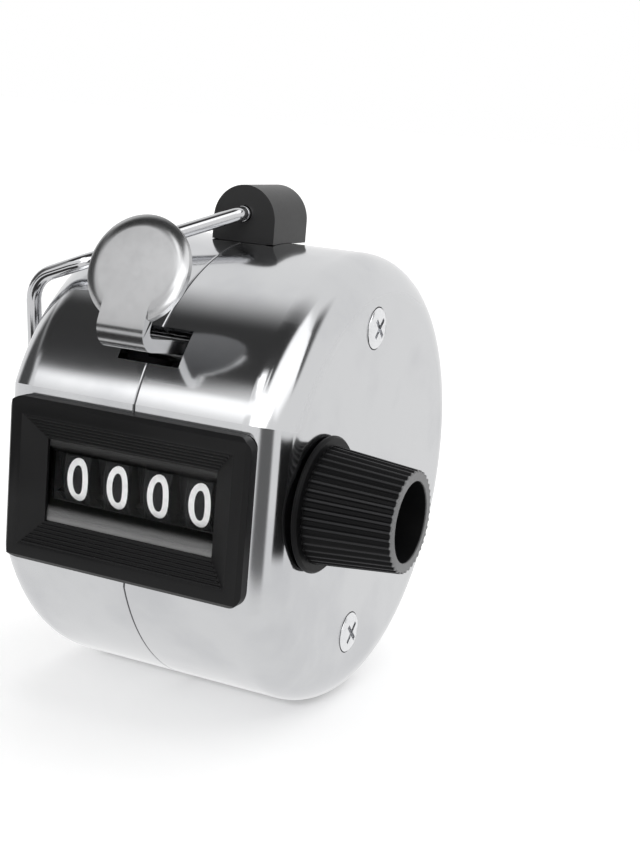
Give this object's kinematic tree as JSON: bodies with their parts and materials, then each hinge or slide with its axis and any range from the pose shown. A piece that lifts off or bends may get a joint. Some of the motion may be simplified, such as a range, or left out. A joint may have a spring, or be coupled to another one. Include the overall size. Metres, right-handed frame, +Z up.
{
  "type": "hand tally counter",
  "caption": "Hand-held push counter with a round bright case, a thumb lever, number wheels behind a framed window, a ribbed reset knob and a folding wire finger ring.",
  "frame": {"origin": "middle of the narrow flat under the round case, below the case's own centre", "axes": "+X along the wheel shaft towards the reset knob, +Y from the window to the back, +Z up to the finger ring"},
  "size_m": [0.0445, 0.0464, 0.0502],
  "materials": {
    "chrome": "polished",
    "gloss_black": "gloss",
    "wheel_black": "satin",
    "clear_lens": "clear",
    "steel": "satin",
    "brass": "satin"
  },
  "bodies": {
    "case": {"left_case": "chrome", "right_case": "chrome", "window_bezel": "gloss_black", "window_lens": "clear_lens", "figure_mask": "wheel_black", "left_screws": "chrome", "right_screws": "chrome", "ring_lug": "gloss_black", "left_plate": "steel", "right_plate": "steel", "upper_tie": "steel", "rear_tie": "steel", "lower_tie": "steel", "detent_bar": "steel", "detent_spring": "steel", "detent_rivets": "brass", "lever_pin": "steel", "lever_spring": "steel", "pawl_spring": "steel", "left_bush": "brass", "right_bush": "brass"},
    "lever": {"thumb_lever": "chrome", "pawl_pin": "steel"},
    "pawl": {"drive_pawl": "steel"},
    "reset": {"reset_shaft": "steel", "shaft_clip": "steel", "wheel_collar": "brass", "reset_knob": "gloss_black", "knob_screw": "steel"},
    "thousands": {"thousands_wheel": "wheel_black", "thousands_pickup": "brass"},
    "hundreds": {"hundreds_wheel": "wheel_black", "hundreds_pickup": "brass"},
    "tens": {"tens_wheel": "wheel_black", "tens_pickup": "brass"},
    "units": {"units_wheel": "wheel_black", "units_pickup": "brass"},
    "ring": {"finger_ring": "chrome"}
  },
  "joints": [
    {"name": "lever_press", "type": "hinge", "parent": "case", "child": "lever", "pos_m": [0, -0.014, 0.03556], "axis": [1, 0, 0], "range_deg": [0, 13], "stiffness_Nm_per_rad": 0.05, "springref_deg": -17.19, "deforming": ["lever_spring", "pawl_spring"]},
    {"name": "pawl_swing", "type": "hinge", "parent": "lever", "child": "pawl", "pos_m": [0, 0.00282, 0.03364], "axis": [1, 0, 0], "range_deg": [-13, 0]},
    {"name": "units_turn", "type": "hinge", "parent": "case", "child": "units", "pos_m": [0, -0.0122, 0.02277], "axis": [1, 0, 0], "range_deg": [0, 36.01], "deforming": ["detent_spring", "units_pickup"]},
    {"name": "tens_turn", "type": "hinge", "parent": "case", "child": "tens", "pos_m": [0, -0.0122, 0.02277], "axis": [1, 0, 0], "continuous": true, "deforming": ["tens_pickup"]},
    {"name": "hundreds_turn", "type": "hinge", "parent": "case", "child": "hundreds", "pos_m": [0, -0.0122, 0.02277], "axis": [1, 0, 0], "continuous": true, "deforming": ["hundreds_pickup"]},
    {"name": "thousands_turn", "type": "hinge", "parent": "case", "child": "thousands", "pos_m": [0, -0.0122, 0.02277], "axis": [1, 0, 0], "continuous": true, "deforming": ["thousands_pickup"]},
    {"name": "knob_turn", "type": "hinge", "parent": "case", "child": "reset", "pos_m": [0, -0.0122, 0.02277], "axis": [1, 0, 0], "continuous": true},
    {"name": "ring_swing", "type": "hinge", "parent": "case", "child": "ring", "pos_m": [0, 0.001, 0.04742], "axis": [0, 1, 0], "range_deg": [0, 225]}
  ],
  "couplings": [
    {"joint": "pawl_swing", "follows": "lever_press", "ratio": -1},
    {"joint": "units_turn", "follows": "lever_press", "ratio": 2.769}
  ]
}
